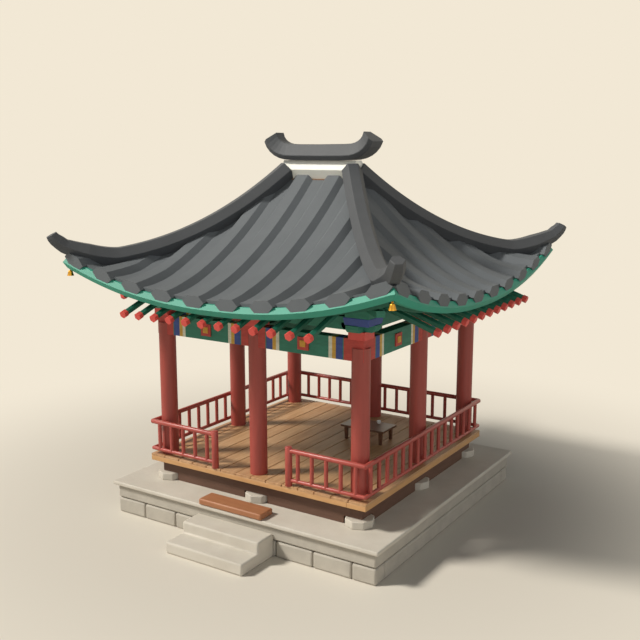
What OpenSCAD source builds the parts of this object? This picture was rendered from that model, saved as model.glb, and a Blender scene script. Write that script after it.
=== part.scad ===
// A four-square garden pavilion: stone podium, raised timber floor, eight
// round columns, painted tie beams and a concave hipped tile roof.
// +X runs to the right along the entrance side, +Y to the back, +Z up.
// The origin is on the ground under the middle of the podium.

/* [Columns] */
// Distance of the outer columns from the middle
bay = 2000; // [1700:10:2400]
// Column diameter
column_d = 300; // [240:5:360]
// Underside of the tie beams
tie_z = 3290; // [2900:10:3600]

/* [Podium] */
// Half width of the stone courses
podium_half = 2680; // [2600:10:3200]
// Height of the lower course of blocks
block_h = 270; // [200:5:320]
// Recessed bed joint between the courses
bed_h = 20; // [10:1:40]
// Height of the upper course
course_h = 230; // [150:5:300]
// Thickness of the cap slab
cap_h = 74; // [50:1:110]
// How far the cap slab overhangs the courses
cap_over = 70; // [30:5:120]
// Width of a lower block
block_w = 716; // [500:4:900]
// How far the middle joint lies to the right of the middle
joint_off = 104; // [0:2:200]
// Open joint between two lower blocks
joint_w = 14; // [6:1:24]

/* [Steps] */
// Half width of the stone steps
step_half = 785; // [600:5:900]
// Tread of the lower step
step_tread_1 = 430; // [300:5:500]
// Tread of the upper step
step_tread_2 = 420; // [300:5:500]
// Length of the timber step on the podium
board_l = 1300; // [900:10:1500]
// Depth of the timber step
board_w = 345; // [250:5:400]
// Thickness of the timber step
board_h = 106; // [60:1:130]
// How far the timber step lies to the left of the middle
board_off = 60; // [0:5:200]

/* [Floor] */
// Half width of the floor
floor_half = 2250; // [2180:10:2420]
// Underside of the floor above the podium
floor_clear = 346; // [250:2:450]
// Thickness of the floor edge boards
edge_h = 86; // [60:1:120]
// Thickness of the floor planks
plank_h = 40; // [25:1:50]
// Number of floor planks
plank_n = 14; // [8:1:20]
// Gap between two planks
plank_gap = 12; // [6:1:20]
// Half width of the sill beams, outer face
sill_half = 2100; // [2060:10:2200]
// Width of a sill beam
sill_w = 200; // [160:5:260]
// Radius of the base stones, across the corners
stone_r = 245; // [210:5:280]
// Height of the base stones
stone_h = 130; // [80:5:200]

/* [Beams] */
// Height of the tie beams
tie_h = 350; // [250:5:450]
// Thickness of the tie beams, purlins and bracket arms
beam_t = 220; // [160:5:260]
// Height of the square head blocks
head_h = 130; // [80:5:180]
// Half width of a head block
head_r = 150; // [120:5:200]
// Height of the crossed bracket arms
arm_h = 115; // [80:5:160]
// Reach of the bracket arms from the column
arm_l = 300; // [240:5:360]
// Height of the blue bearing blocks
bear_h = 125; // [80:5:180]
// Half width of a bearing block
bear_r = 230; // [180:5:270]
// Outward shift of a bearing block
bear_off = 80; // [0:5:110]
// Height of the eave beams on the blocks
eave_h = 145; // [100:5:200]
// Side of the square ornament on each tie beam
boss_w = 210; // [120:5:260]

/* [Rafters] */
// Number of rafters a side
rafter_n = 12; // [6:2:16]
// Distance between rafters
rafter_gap = 332; // [250:2:360]
// Rafter radius, across the corners
rafter_r = 57; // [40:1:70]
// Distance of the rafter tips from the middle
tip_half = 3245; // [3100:5:3400]
// Rise of the rafters for each metre inward
rafter_rise = 350; // [200:10:450]
// Distance from the middle at which the rafters end inside
rafter_in = 1050; // [900:10:1300]

/* [Roof] */
// Distance of the eave corners from the middle
eave_half = 3200; // [3000:10:3500]
// Height of the tile bed at the middle of an eave
eave_z = 4200; // [4100:10:4600]
// Lift of the eave corners above the middle of the eave
eave_lift = 540; // [400:10:700]
// Upturn of the hips in their last quarter
hip_lift = 280; // [150:10:350]
// Height of the tile bed along the ridge
ridge_z = 5970; // [5500:10:6400]
// Half length of the tile bed at the ridge
ridge_half = 700; // [500:10:900]
// Half width of the tile bed at the ridge
ridge_gap = 120; // [115:5:160]
// Sag of the roof between ridge and eave
sag = 1.6; // [1.2:0.05:2.2]
// Thickness of the tile bed at the eave
bed_t = 50; // [35:5:80]
// Number of tile rows on each slope
row_n = 10; // [6:2:12]
// Distance between tile rows
row_pitch = 659; // [500:1:700]
// Half width of a tile row
row_r = 210; // [140:5:230]
// Height of a tile row above the bed
row_h = 100; // [60:5:140]
// Radius of the hip ridges, across the corners
hip_r = 180; // [140:5:220]
// Rise of the hip ridges' tips
hip_tip = 165; // [100:5:250]
// Radius of the painted eave board, across the corners
fascia_r = 104; // [80:2:130]

/* [Ridge] */
// Half length of the plaster ridge body
plaster_half = 770; // [600:10:900]
// Radius of the plaster ridge body, across the corners
plaster_r = 190; // [150:5:230]
// Height of the middle of the plaster body above the tile bed
plaster_up = 176; // [150:2:360]
// Radius of the ridge cap, across the corners
cap_r = 234; // [180:5:280]
// Rise of the ridge cap's tips
tip_up = 298; // [150:5:400]

/* [Railing] */
// Distance of the railings from the middle of the floor
rail_half = 2220; // [2200:5:2350]
// Middle of the top rail above the floor
rail_z = 604; // [450:5:800]
// Middle of the lower rail above the floor
foot_z = 100; // [60:5:200]
// Top rail diameter
rail_d = 84; // [60:2:100]
// Lower rail diameter
foot_d = 66; // [40:2:80]
// Baluster diameter
bal_d = 66; // [30:1:80]
// Distance between balusters
bal_gap = 273; // [150:1:350]
// Half width of the entrance between the newel posts
gate_half = 775; // [600:5:900]
// Newel post diameter
newel_d = 120; // [90:5:140]

/* [Table] */
// Length of the table top
table_l = 920; // [600:10:1200]
// Width of the table top
table_w = 540; // [400:10:700]
// Height of the table
table_h = 284; // [200:2:400]
// Thickness of the table top
table_t = 40; // [20:1:60]
// Side of a table leg
leg_w = 64; // [30:1:80]
// Distance from the middle of the floor to the middle of the table, along X
table_x = 670; // [400:10:900]
// Distance from the middle of the floor to the middle of the table, along Y
table_y = 600; // [400:10:900]

/* [Bells] */
// Mouth diameter of a wind bell
bell_d = 120; // [90:2:140]
// Height of a wind bell
bell_h = 90; // [50:2:110]
// Radius of a wind bell at its crown
bell_top = 35; // [26:1:45]
// Wall of a wind bell
bell_t = 4; // [3:0.5:6]
// Radius of the pin that a bell hangs on
pin_r = 4; // [3:0.5:6]
// Clearance of the bell's lug around the pin
pin_gap = 0.5; // [0.3:0.1:1]

/* [Hidden] */

// heights that follow from the sizes above
course_z = block_h + bed_h;
cap_z = course_z + course_h;
podium_z = cap_z + cap_h;
floor_z = podium_z + floor_clear;
plank_z = floor_z + edge_h;
deck_z = plank_z + plank_h;
tie_top = tie_z + tie_h;
head_z = tie_top + head_h;
arm_z = head_z + arm_h;
bear_z = arm_z + bear_h;
beam_z = bear_z + eave_h;
bt = beam_t / 2;
col_r = column_d / 2;
fit = 0.3;

// the eight column positions, and the turn of each side of the square
spots = [for (i = [-1:1]) for (j = [-1:1]) if (i != 0 || j != 0) [i, j]];
turns = [0, 90, 180, 270];

// a flat bar with mitred ends along the entrance side, between two half widths
module mitred(outer, inner, z, h)
    translate([0, 0, z]) linear_extrude(h)
        polygon([[-outer + fit, -outer], [outer - fit, -outer], [inner - fit, -inner], [-inner + fit, -inner]]);

// a bar mitred at its outer end only, from the middle line to the corner
module half_mitred(outer, inner, z, h)
    translate([0, 0, z]) linear_extrude(h)
        polygon([[fit, -outer], [outer - fit, -outer], [inner - fit, -inner], [fit, -inner]]);

// ---------- podium ----------
kerb_w = 300;
module podium_core() color("gray")
    translate([-podium_half + kerb_w, -podium_half + kerb_w, 0])
        cube([2 * (podium_half - kerb_w), 2 * (podium_half - kerb_w), cap_z]);

module podium_blocks() color("darkgray") {
    for (a = [0, 180]) rotate(a) difference() {
        mitred(podium_half, podium_half - kerb_w, 0, block_h);
        for (k = [-3:3]) translate([k * block_w + joint_off - joint_w / 2, -podium_half - 1, -1])
            cube([joint_w, kerb_w + 2, block_h + 2]);
    }
    for (a = [90, 270]) rotate(a) mitred(podium_half, podium_half - kerb_w, 0, block_h);
}

module podium_course() color("lightgray") {
    for (a = turns) rotate(a) {
        mitred(podium_half - 8, podium_half - kerb_w, block_h, bed_h);
    }
    for (a = turns) rotate(a) mitred(podium_half, podium_half - kerb_w, course_z, course_h);
}

module podium_cap() color("gainsboro") {
    h = podium_half + cap_over;
    translate([-h, -h, cap_z]) cube([2 * h, 2 * h, cap_h]);
}

riser = podium_z / 3;
step_y2 = podium_half + step_tread_2;
step_y1 = step_y2 + step_tread_1;
module step_lower() color("lightgray")
    translate([-step_half, -step_y1, 0]) cube([2 * step_half, step_y1 - podium_half, riser]);
module step_upper() color("lightgray")
    translate([-step_half, -step_y2, riser]) cube([2 * step_half, step_y2 - podium_half, riser]);
module step_board() color("sienna")
    translate([-board_off - board_l / 2, -podium_half - cap_over - 15, podium_z]) cube([board_l, board_w, board_h]);

module base_stones() color("lightgray") for (s = spots)
    translate([s[0] * bay, s[1] * bay, podium_z]) cylinder(r = stone_r, h = stone_h, $fn = 8);

// ---------- floor ----------
module sill_beams() color([0.3, 0.2, 0.14]) difference() {
    for (a = turns) rotate(a) mitred(sill_half, sill_half - sill_w, podium_z, floor_clear);
    for (s = spots) translate([s[0] * bay, s[1] * bay, podium_z - 1])
        cylinder(r = stone_r, h = stone_h + 1, $fn = 8);
}
joist_w = 140;
module floor_joists() color("peru") for (k = [-1:1]) {
    // the middle joist stops at the base stones
    r = k == 0 ? min(sill_half - sill_w, bay - stone_r - fit) : sill_half - sill_w;
    translate([-r, k * bay / 2 - joist_w / 2, podium_z]) cube([2 * r, joist_w, floor_clear + edge_h]);
}
edge_w = 350;
module floor_edge() color("tan") difference() {
    for (a = turns) rotate(a) mitred(floor_half, floor_half - edge_w, floor_z, edge_h);
    for (s = spots) translate([s[0] * bay, s[1] * bay, floor_z - 1]) cylinder(d = column_d + 2 * fit, h = edge_h + 2, $fn = 48);
}
plank_w = 2 * floor_half / plank_n;
module floor_planks() color("burlywood") difference() {
    for (i = [0:plank_n - 1]) {
        x0 = -floor_half + i * plank_w + (i == 0 ? 0 : plank_gap / 2);
        x1 = -floor_half + (i + 1) * plank_w - (i == plank_n - 1 ? 0 : plank_gap / 2);
        translate([x0, -floor_half, plank_z]) cube([x1 - x0, 2 * floor_half, plank_h]);
    }
    for (s = spots) translate([s[0] * bay, s[1] * bay, plank_z - 1])
        cylinder(d = column_d + 2 * fit, h = plank_h + 2, $fn = 48);
}

// ---------- frame ----------
col_top = tie_top - 140;
// a column with an open mortise at its head: lo and hi give how far it runs each way
module column_at(s) {
    bx = [s[1] == 0 ? 0 : s[0] == -1 ? bt : col_r + 1, s[1] == 0 ? 0 : s[0] == 1 ? bt : col_r + 1];
    by = [s[0] == 0 ? (s[1] == 1 ? col_r + 1 : 0) : s[1] == -1 ? bt : col_r + 1,
          s[0] == 0 ? (s[1] == -1 ? col_r + 1 : 0) : s[1] == 1 ? bt : col_r + 1];
    translate([s[0] * bay, s[1] * bay, floor_z]) difference() {
        cylinder(d = column_d, h = col_top - floor_z, $fn = 48);
        translate([-bx[0] - fit, -bt - fit, tie_z - floor_z - fit]) cube([bx[0] + bx[1] + 2 * fit, beam_t + 2 * fit, tie_h]);
        translate([-bt - fit, -by[0] - fit, tie_z - floor_z - fit]) cube([beam_t + 2 * fit, by[0] + by[1] + 2 * fit, tie_h]);
    }
}
module columns() color("firebrick") for (s = spots) column_at(s);

module tie_beams() color("seagreen") for (a = turns) rotate(a) for (m = [0, 1]) mirror([m, 0, 0])
    half_mitred(bay + bt, bay - bt, tie_z, tie_h);

boss_t = 22;
module beam_bosses() color("crimson") for (a = turns) rotate(a) for (m = [-1, 1])
    translate([m * bay / 2 - boss_w / 2, -bay - bt - boss_t, tie_z + (tie_h - boss_w) / 2]) cube([boss_w, boss_t, boss_w]);

module head_blocks() color("crimson") for (s = spots)
    translate([s[0] * bay - head_r, s[1] * bay - head_r, tie_top]) cube([2 * head_r, 2 * head_r, head_h]);

module bracket_arms() color("mediumseagreen") for (s = spots) translate([s[0] * bay, s[1] * bay, head_z]) {
    translate([-arm_l, -bt, 0]) cube([2 * arm_l, beam_t, arm_h]);
    translate([-bt, -arm_l, 0]) cube([beam_t, 2 * arm_l, arm_h]);
}
module bearing_blocks() color("royalblue") for (s = spots)
    translate([s[0] * (bay + bear_off) - bear_r, s[1] * (bay + bear_off) - bear_r, arm_z]) cube([2 * bear_r, 2 * bear_r, bear_h]);

// longitudinal purlins between the brackets, over the arms up to the blocks
module purlins() color("seagreen") for (a = turns) rotate(a) for (m = [0, 1]) mirror([m, 0, 0]) {
    translate([arm_l, -bay - bt, head_z]) cube([bay - 2 * arm_l, beam_t, arm_h + bear_h - 30]);
    translate([bear_r, -bay - bt, arm_z]) cube([bay + bear_off - 2 * bear_r, beam_t, bear_h - 30]);
}
// square ring of beams on the blocks, and the pads over the corner blocks
pad = bay + bear_off;
pad_in = max(pad - bear_r, (rafter_n - 1) / 2 * rafter_gap + rafter_r + fit);
module eave_beams() color("seagreen") {
    for (a = turns) rotate(a) {
        translate([-pad + bear_r + fit, -bay - bt, bear_z]) cube([2 * (pad - bear_r - fit), beam_t, eave_h]);
        translate([pad_in, -pad - bear_r, bear_z]) cube([pad + bear_r - pad_in, pad + bear_r - pad_in, eave_h]);
    }
}

// ---------- roof surface rules ----------
// share of the way from ridge to eave, for a distance from the ridge line
function run(v, v0) = (v - v0) / (eave_half - v0);
// height of the tile bed up the middle of a slope
function mid_z(s) = eave_z + (ridge_z - eave_z) * pow(max(0, 1 - s), sag);
// height of the tile bed along a hip
hip_low = eave_z + eave_lift - hip_lift;
function hip_z(s) = hip_low + (ridge_z - hip_low) * pow(max(0, 1 - s), 2.2) + hip_lift * pow(max(0, s - 0.76) / 0.24, 1.4);
// height of the bed at a place on a slope: w is the half width of the slope there
function bed_z(u, s, w) = mid_z(s) + (hip_z(s) - mid_z(s)) * pow(min(1, abs(u) / w), 2.2);
// plan of the hips: half length and half width of the slopes at a share s
function hip_x(s) = ridge_half + (eave_half - ridge_half) * s;
function hip_y(s) = ridge_gap + (eave_half - ridge_gap) * s;
hip_len = sqrt(pow(eave_half - ridge_half, 2) + pow(eave_half - ridge_gap, 2));
hdx = (eave_half - ridge_half) / hip_len;
hdy = (eave_half - ridge_gap) / hip_len;
// half width of the foot of a hip ridge: the slopes' pans stop at it, and the rows a little before
hip_foot = hip_r * 0.555;
edge_v = eave_half - 100;

// columns of points across a slope: bed edge, foot, shoulder, shoulder, foot of each row
function u_list() = [for (i = [0:row_n - 1]) let (c = (i - (row_n - 1) / 2) * row_pitch)
    for (k = [[-row_pitch / 2, 0], [-row_r, 0], [-row_r / 2, 1], [row_r / 2, 1], [row_r, 0]])
        if (i > 0 || k[0] > -row_pitch / 2) [c + k[0], k[1]]];

// a slope as one solid: x0 is the ridge half width seen from this slope,
// v0 the ridge offset; the sides stop beside the hip ridge
function slope_start(u, up, x0, v0, dx, dy) =
    let (a = abs(u), edge = up > 0 ? hip_foot + row_h * 0.6 + 8 : hip_foot + fit, ox = x0 - edge * dy, ov = v0 + edge * dx,
         top = v0 + (x0 > v0 ? fit + up * 80 : 0))
    max(top, ov + (a - ox) * dy / dx);
rings = [0, 0.1, 0.22, 0.35, 0.5, 0.64, 0.76, 0.86, 0.94, 1];
// underside of the tile bed and its packing
function pack_z(u, v, s, w) =
    let (top = bed_z(u, s, w), lift = top - mid_z(s),
         plane = tip_z + (tip_half - v) * rafter_rise / 1000 + rafter_r / cos(rafter_a) + fit)
    min(top - bed_t - 40, max(plane + lift, top - 260));
rafter_a = atan(rafter_rise / 1000);
// the rafters lie on the outer edge of the eave beams
tip_z = beam_z + fit - (tip_half - bay - bt) * rafter_rise / 1000 + rafter_r / cos(rafter_a);
module slope(x0, v0) {
    dx = x0 > v0 ? hdx : hdy;
    dy = x0 > v0 ? hdy : hdx;
    us = [for (p = u_list()) if (slope_start(p[0], p[1], x0, v0, dx, dy) < edge_v - 60) p];
    // rings along the slope: packed part, then the thin part over the eave board
    vin = edge_v - 2 * fascia_r + 100;
    nr = len(rings) + 2;
    nc = len(us);
    pts = [for (p = us) let (a = slope_start(p[0], p[1], x0, v0, dx, dy))
        for (r = [0:nr - 1]) let (
            v = r < len(rings) ? a + (min(vin, edge_v - 30) - 6 - a) * rings[r] : r == len(rings) ? min(vin, edge_v - 30) : edge_v,
            s = run(v, v0), w = x0 + (eave_half - x0) * s, z = bed_z(p[0], s, w))
            [p[0], -v, z + p[1] * row_h]];
    bot = [for (p = us) let (a = slope_start(p[0], p[1], x0, v0, dx, dy))
        for (r = [0:nr - 1]) let (
            v = r < len(rings) ? a + (min(vin, edge_v - 30) - 6 - a) * rings[r] : r == len(rings) ? min(vin, edge_v - 30) : edge_v,
            s = run(v, v0), w = x0 + (eave_half - x0) * s, z = bed_z(p[0], s, w))
            [p[0], -v, r < len(rings) ? pack_z(p[0], v, s, w) : board_top(p[0]) + fit]];
    n = nc * nr;
    function id(c, r) = c * nr + r;
    faces = concat(
        [for (c = [0:nc - 2]) for (r = [0:nr - 2]) each [[id(c, r), id(c, r + 1), id(c + 1, r + 1)], [id(c, r), id(c + 1, r + 1), id(c + 1, r)]]],
        [for (c = [0:nc - 2]) for (r = [0:nr - 2]) each [[n + id(c, r), n + id(c + 1, r + 1), n + id(c, r + 1)], [n + id(c, r), n + id(c + 1, r), n + id(c + 1, r + 1)]]],
        [for (c = [0:nc - 2]) each [[id(c, 0), id(c + 1, 0), n + id(c + 1, 0)], [id(c, 0), n + id(c + 1, 0), n + id(c, 0)]]],
        [for (c = [0:nc - 2]) each [[id(c, nr - 1), n + id(c + 1, nr - 1), id(c + 1, nr - 1)], [id(c, nr - 1), n + id(c, nr - 1), n + id(c + 1, nr - 1)]]],
        [for (r = [0:nr - 2]) each [[id(0, r), n + id(0, r + 1), id(0, r + 1)], [id(0, r), n + id(0, r), n + id(0, r + 1)]]],
        [for (r = [0:nr - 2]) each [[id(nc - 1, r), id(nc - 1, r + 1), n + id(nc - 1, r + 1)], [id(nc - 1, r), n + id(nc - 1, r + 1), n + id(nc - 1, r)]]]);
    polyhedron(concat(pts, bot), faces);
}
module roof_front() color("dimgray") slope(ridge_half, ridge_gap);
module roof_back() color("dimgray") rotate(180) slope(ridge_half, ridge_gap);
module roof_right() color("dimgray") rotate(90) slope(ridge_gap, ridge_half);
module roof_left() color("dimgray") rotate(270) slope(ridge_gap, ridge_half);

// ---------- swept six-sided tubes ----------
// ring of a flat-topped six-sided section, level or leaned by an angle, that heads along a plan direction
function hex_ring(c, r, dir, lean, flat = 1) = [for (k = [0:5]) let (a = 60 * k, y = r * cos(a), z = r * sin(a) * flat)
    [c[0] - dir[1] * y - dir[0] * z * sin(lean), c[1] + dir[0] * y - dir[1] * z * sin(lean), c[2] + z * cos(lean)]];
module tube(ringlist) {
    m = len(ringlist[0]);
    k = len(ringlist);
    polyhedron([for (r = ringlist) each r], concat(
        [[for (i = [0:m - 1]) m - 1 - i]],
        [for (j = [0:k - 2]) for (i = [0:m - 1]) each [
            [j * m + i, j * m + (i + 1) % m, (j + 1) * m + (i + 1) % m],
            [j * m + i, (j + 1) * m + (i + 1) % m, (j + 1) * m + i]]],
        [[for (i = [0:m - 1]) (k - 1) * m + i]]));
}

// painted board under the eave, mitred at the corners
fas_v = eave_half - 78;
fas_h = fascia_r * sin(60);
function board_top(x) = let (w = eave_half) eave_z - bed_t + (eave_lift) * pow(min(1, abs(x) / w), 2.2);
fas_x = concat([-1], [for (p = u_list()) if (abs(p[0]) < fas_v - 160) p[0] / fas_v], [1]);
module eave_boards() color("mediumaquamarine") for (a = turns) rotate(a)
    tube([for (t = fas_x) [for (k = [0:5]) let (y = -fas_v + fascia_r * cos(60 * k), x = abs(t) == 1 ? t * (-y - fit) : t * fas_v)
        [x, y, board_top(x) - fas_h + fascia_r * sin(60 * k)]]]);

// hip ridges: a six-sided body on a foot that stands between the slopes
hip_up = 140;
hip_ts = [0.035, 0.1, 0.2, 0.32, 0.45, 0.58, 0.7, 0.79, 0.84, 0.88, 0.94, 0.98, 1.01];
function hip_c(t) = [hip_x(t), hip_y(t), hip_z(t) + hip_up];
function hip_lean(t) = atan((hip_c(t + 0.01)[2] - hip_c(t - 0.01)[2]) / (0.02 * hip_len));
function hip_sec(r, foot, deep) = [[r, 0], [r / 2, r * sin(60)], [-r / 2, r * sin(60)], [-r, 0],
    [-foot, -r * (2 - 2 * foot / r) * sin(60)], [-foot, -deep], [foot, -deep], [foot, -r * (2 - 2 * foot / r) * sin(60)]];
function sec_ring(c, sec, lean) = [for (q = sec)
    [c[0] - hdy * q[0] - hdx * q[1] * sin(lean), c[1] + hdx * q[0] - hdy * q[1] * sin(lean), c[2] + q[1] * cos(lean)]];
function hip_rr(t) = hip_r * (1 - 2.2 * max(0, t - 0.9));
module hip_ridges() color("darkslategray") for (sx = [0, 1]) for (sy = [0, 1]) mirror([sx, 0, 0]) mirror([0, sy, 0])
    tube(concat([for (t = hip_ts) sec_ring(hip_c(t), hip_sec(hip_rr(t), hip_foot, t > 0.9 ? hip_r * 0.8 : hip_up + 60), hip_lean(t))],
        [sec_ring(hip_c(1.03) + [0, 0, 70], hip_sec(hip_r * 0.68, hip_foot * 0.86, hip_r * 0.6), 46),
         sec_ring(hip_c(1.048) + [0, 0, hip_tip], hip_sec(hip_r * 0.6, hip_foot * 0.72, hip_r * 0.5), 60)]));

// ridge: timber bed, plaster body and dark cap
ply_z = ridge_z + plaster_up - fit;
module ridge_bed() color("silver")
    translate([-ridge_half + 60, -ridge_gap, ridge_z - 260]) cube([2 * (ridge_half - 60), 2 * ridge_gap, plaster_up + 260 - plaster_r * sin(60) - fit]);
module ridge_plaster() color("ivory")
    tube([for (x = [-1, -0.5, 0, 0.5, 1]) hex_ring([x * plaster_half, 0, ridge_z + plaster_up], plaster_r, [1, 0], 0)]);
module ridge_cap() color("dimgray") {
    z0 = ridge_z + plaster_up + plaster_r * sin(60) + fit;
    cut = 78;
    path = [[0, 0, 0], [0.5, 4, 0], [0.68, 18, 10], [0.83, 75, 24], [0.93, 165, 40], [1, tip_up, 53]];
    sec = [[-189, -cut], [189, -cut], [234, 0], [117, 203], [-117, 203], [-234, 0]];
    k = cap_r / 234;
    all_p = concat([for (i = [len(path) - 1:-1:1]) [-path[i][0], path[i][1], -path[i][2]]], path);
    tube([for (p = all_p) [for (q = sec) let (z = (q[1]) * k)
        [p[0] * 1.4 * plaster_half - z * sin(p[2]), q[0] * k, z0 + p[1] + cut * k + z * cos(p[2])]]]);
}

// ---------- timbers inside the roof ----------
module cross_beam() color("seagreen")
    translate([-bt, -bay + bt + fit, tie_z]) cube([beam_t, 2 * (bay - bt - fit), tie_h]);
post_w = 160;
post_x = ridge_half - 160;
module king_posts() color("peru") {
    // saddle on the cross beam, then two posts up to the ridge bed
    translate([-post_x - post_w / 2, -post_w / 2, tie_top]) cube([2 * post_x + post_w, post_w, 160]);
    for (m = [-1, 1]) translate([m * post_x - post_w / 2, -post_w / 2, tie_top + 160 + fit])
        cube([post_w, post_w, ridge_z - 260 - tie_top - 160 - fit]);
}
function rafter_low(v) = tip_z + (tip_half - v) * rafter_rise / 1000 - rafter_r / cos(rafter_a) - fit;
module inner_purlins() color("seagreen") {
    // square ring under the rafters' inner ends, with four legs on the ring of eave beams' ties
    r = rafter_in + 60;
    z1 = rafter_low(r + 60);
    for (a = turns) rotate(a) mitred(r + 60, r - 60, z1 - 120, 120);
    for (m = [-1, 1]) translate([-bt, m * r - 60, tie_top]) cube([beam_t, 120, z1 - 120 - tie_top - fit]);
}

// ---------- rafters ----------
rafter_l = (tip_half - rafter_in) / cos(rafter_a);
cap_l = 85;
module pole(i, r, from, len)
    translate([(i - (rafter_n - 1) / 2) * rafter_gap, -tip_half, tip_z]) rotate([-90 + rafter_a, 0, 0])
        translate([0, 0, from]) rotate(30) cylinder(r = r, h = len, $fn = 6);
module rafters() color("darkgreen") for (a = turns) rotate(a) for (i = [0:rafter_n - 1])
    pole(i, rafter_r, cap_l, rafter_l - cap_l - max(0, abs(i - (rafter_n - 1) / 2) * rafter_gap - rafter_in + 200) / cos(rafter_a));
module rafter_caps() color("tomato") for (a = turns) rotate(a) for (i = [0:rafter_n - 1])
    pole(i, rafter_r * 1.2, 0, cap_l);

// hip rafters from the corner pads out under the hips, just below the slopes' packing
hr_w = 130;
hr_out = eave_half - 450;
function hr_top(v) = min(beam_z + 200, pack_z(1, v, run(v, ridge_gap), 1) - 72);
module hip_rafters() color("seagreen") for (sx = [0, 1]) for (sy = [0, 1]) mirror([sx, 0, 0]) mirror([0, sy, 0])
    tube([for (q = [[bay - 150, 0], [pad + bear_r + 2, 0], [(pad + bear_r + 2 + hr_out) / 2, -10], [hr_out, 5]])
        [for (k = [[-1, 1], [1, 1], [1, 0], [-1, 0]])
            [q[0] + k[0] * hr_w * 0.3535, q[0] - k[0] * hr_w * 0.3535, k[1] == 1 ? hr_top(q[0]) : beam_z + q[1]]]]);

// ---------- railings ----------
rail_y = rail_half;
peg_d = 36;
module rail_run(x0, x1, pegs) {
    translate([x0, -rail_y, deck_z + rail_z]) rotate([0, 90, 0]) cylinder(d = rail_d, h = x1 - x0, $fn = 24);
    translate([x0, -rail_y, deck_z + foot_z]) rotate([0, 90, 0]) cylinder(d = foot_d, h = x1 - x0, $fn = 24);
    for (i = [-16:15]) let (x = (i + 0.5) * bal_gap) if (x > x0 + 60 && x < x1 - 90)
        translate([x, -rail_y, deck_z + foot_z + foot_d / 2 + fit])
            cylinder(d = bal_d, h = rail_z - foot_z - foot_d / 2 - rail_d / 2 - 2 * fit, $fn = 16);
    // pegs that fix the rails to the columns behind them
    for (x = pegs) for (r = [[rail_z, rail_d], [foot_z, foot_d]]) let (y = -rail_y + r[1] / 2 + fit)
        translate([x, y, deck_z + r[0]]) rotate([-90, 0, 0]) cylinder(d = peg_d, h = -bay - col_r - fit - y, $fn = 16);
}
module railing_back() color("indianred") rotate(180) rail_run(-rail_y, rail_y, [-bay, 0, bay]);
module railing_right() color("indianred") rotate(90) rail_run(-rail_y + rail_d / 2 + fit, rail_y - rail_d / 2 - fit, [-bay, 0, bay]);
module railing_left() color("indianred") rotate(270) rail_run(-rail_y + rail_d / 2 + fit, rail_y - rail_d / 2 - fit, [-bay, 0, bay]);
module railing_front() color("indianred") for (m = [0, 1]) mirror([m, 0, 0]) {
    rail_run(gate_half + newel_d / 2 + fit, rail_y, [bay]);
    translate([gate_half, -rail_y, deck_z]) cylinder(d = newel_d, h = rail_z + 75, $fn = 24);
}

// ---------- furniture ----------
table_z = deck_z + table_h - table_t;
module table_top() color([0.25, 0.16, 0.11])
    translate([table_x - table_l / 2, table_y - table_w / 2, table_z]) cube([table_l, table_w, table_t]);
module table_legs() color([0.25, 0.16, 0.11]) for (i = [-1, 1]) for (j = [-1, 1])
    translate([table_x + i * (table_l / 2 - 90) - leg_w / 2, table_y + j * (table_w / 2 - 70) - leg_w / 2, deck_z])
        cube([leg_w, leg_w, table_h - table_t]);
module tea_cup() color("white")
    translate([table_x + 140, table_y + 150, table_z + table_t]) difference() {
        cylinder(r1 = 30, r2 = 42, h = 60, $fn = 32);
        translate([0, 0, 6]) cylinder(r1 = 26, r2 = 38.5, h = 60, $fn = 32);
    }

// ---------- wind bells ----------
bell_at = eave_half - 60;
stem_r = 5;
stem_top = board_top(bell_at - stem_r) - 2 * fas_h - fit;
bell_pz = stem_top - 17;
lug_r = 9;
lug_h = 14;
module at_corner(sx, sy) translate([sx * bell_at, sy * bell_at, bell_pz]) rotate(atan2(sy, sx)) children();
// a stem under the corner with a fork; the pin lies square to the diagonal
module hook() {
    rotate([90, 0, 0]) translate([0, 0, -15]) cylinder(r = pin_r, h = 30, $fn = 24);
    for (m = [-1, 1]) translate([-5, m * 12 - 3, -6]) cube([10, 6, 20]);
    translate([-5, -15, 11]) cube([10, 30, 4]);
    translate([0, 0, 11]) cylinder(r = stem_r, h = 6, $fn = 24);
}
module bell_hooks() color("goldenrod")
    for (m = [-1, 1]) at_corner(m, -1) hook();
module bell() color("goldenrod") {
    difference() {
        union() {
            translate([0, 0, -lug_h - bell_h]) cylinder(r1 = bell_d / 2, r2 = bell_top, h = bell_h, $fn = 48);
            rotate([90, 0, 0]) translate([0, 0, -6]) cylinder(r = lug_r, h = 12, $fn = 32);
            translate([-lug_r, -6, -lug_h - 3]) cube([2 * lug_r, 12, lug_h + 3]);
        }
        rotate([90, 0, 0]) translate([0, 0, -30]) cylinder(r = pin_r + pin_gap, h = 60, $fn = 32);
        translate([0, 0, -lug_h - bell_h - 0.01]) cylinder(r1 = bell_d / 2 - bell_t, r2 = bell_top - bell_t, h = bell_h - bell_t, $fn = 48);
    }
}
module bell_fl() at_corner(-1, -1) bell();
module bell_fr() at_corner(1, -1) bell();

podium_core();
podium_blocks();
podium_course();
podium_cap();
step_lower();
step_upper();
step_board();
base_stones();
sill_beams();
floor_joists();
floor_edge();
floor_planks();
columns();
tie_beams();
beam_bosses();
head_blocks();
bracket_arms();
bearing_blocks();
purlins();
eave_beams();
cross_beam();
king_posts();
inner_purlins();
rafters();
rafter_caps();
hip_rafters();
roof_front();
roof_back();
roof_left();
roof_right();
eave_boards();
hip_ridges();
ridge_bed();
ridge_plaster();
ridge_cap();
railing_back();
railing_left();
railing_right();
railing_front();
table_top();
table_legs();
tea_cup();
bell_hooks();
bell_fl();
bell_fr();
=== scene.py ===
"""Looks for the garden pavilion: painted pine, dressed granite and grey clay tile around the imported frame."""
import math

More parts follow.
